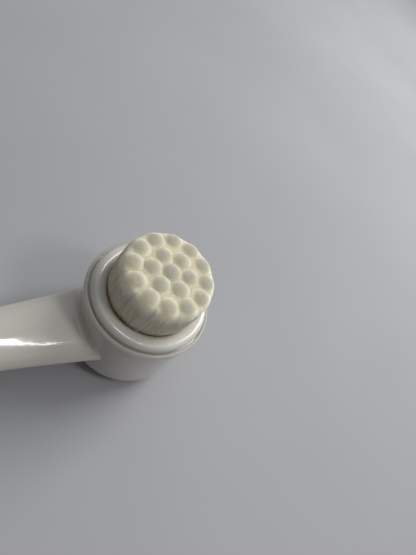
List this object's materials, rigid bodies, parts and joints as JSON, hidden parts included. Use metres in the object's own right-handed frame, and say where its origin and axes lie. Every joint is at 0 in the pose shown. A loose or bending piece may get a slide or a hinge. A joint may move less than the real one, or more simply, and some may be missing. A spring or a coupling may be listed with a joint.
{
  "type": "facial cleansing brush",
  "caption": "Hand-held facial cleansing brush: soft domed tufts on the front of a round cup head, a nubbed silicone pad on the back, and a smooth curved handle.",
  "frame": {"origin": "on the head's axis, in the plane that the pad's nubs and the handle's tail rest on", "axes": "+Z along the head's axis out of the bristles, -X along the handle"},
  "size_m": [0.1508, 0.044, 0.0498],
  "materials": {
    "white_gloss_shell": "high-gloss injection moulding",
    "white_gloss_collar": "high-gloss injection moulding",
    "seal_rubber": "plain",
    "inner_plastic": "as moulded",
    "ivory_plate": "as moulded, shaded by glue at the roots",
    "bristle_fibre": "very fine soft fibres with domed tips",
    "pink_silicone": "satin silicone"
  },
  "bodies": {
    "handle": {"handle_front_shell": "white_gloss_shell", "handle_back_shell": "white_gloss_shell"},
    "bristle_cartridge": {"bristle_collar": "white_gloss_collar", "cartridge_seal_ring": "seal_rubber", "tuft_plate": "ivory_plate", "tuft_backing_disc": "inner_plastic", "centre_tuft": "bristle_fibre", "inner_tuft_1": "bristle_fibre", "inner_tuft_2": "bristle_fibre", "inner_tuft_3": "bristle_fibre", "inner_tuft_4": "bristle_fibre", "inner_tuft_5": "bristle_fibre", "inner_tuft_6": "bristle_fibre", "outer_tuft_1": "bristle_fibre", "outer_tuft_10": "bristle_fibre", "outer_tuft_11": "bristle_fibre", "outer_tuft_12": "bristle_fibre", "outer_tuft_2": "bristle_fibre", "outer_tuft_3": "bristle_fibre", "outer_tuft_4": "bristle_fibre", "outer_tuft_5": "bristle_fibre", "outer_tuft_6": "bristle_fibre", "outer_tuft_7": "bristle_fibre", "outer_tuft_8": "bristle_fibre", "outer_tuft_9": "bristle_fibre"},
    "back_pad": {"silicone_pad": "pink_silicone", "pad_carrier": "inner_plastic"}
  },
  "joints": [
    {"name": "cartridge_lift", "type": "slide", "parent": "handle", "child": "bristle_cartridge", "axis": [0, 0, 1], "range_m": [0, 0.013]},
    {"name": "pad_pull", "type": "slide", "parent": "handle", "child": "back_pad", "axis": [0, 0, -1], "range_m": [0, 0.009]}
  ]
}
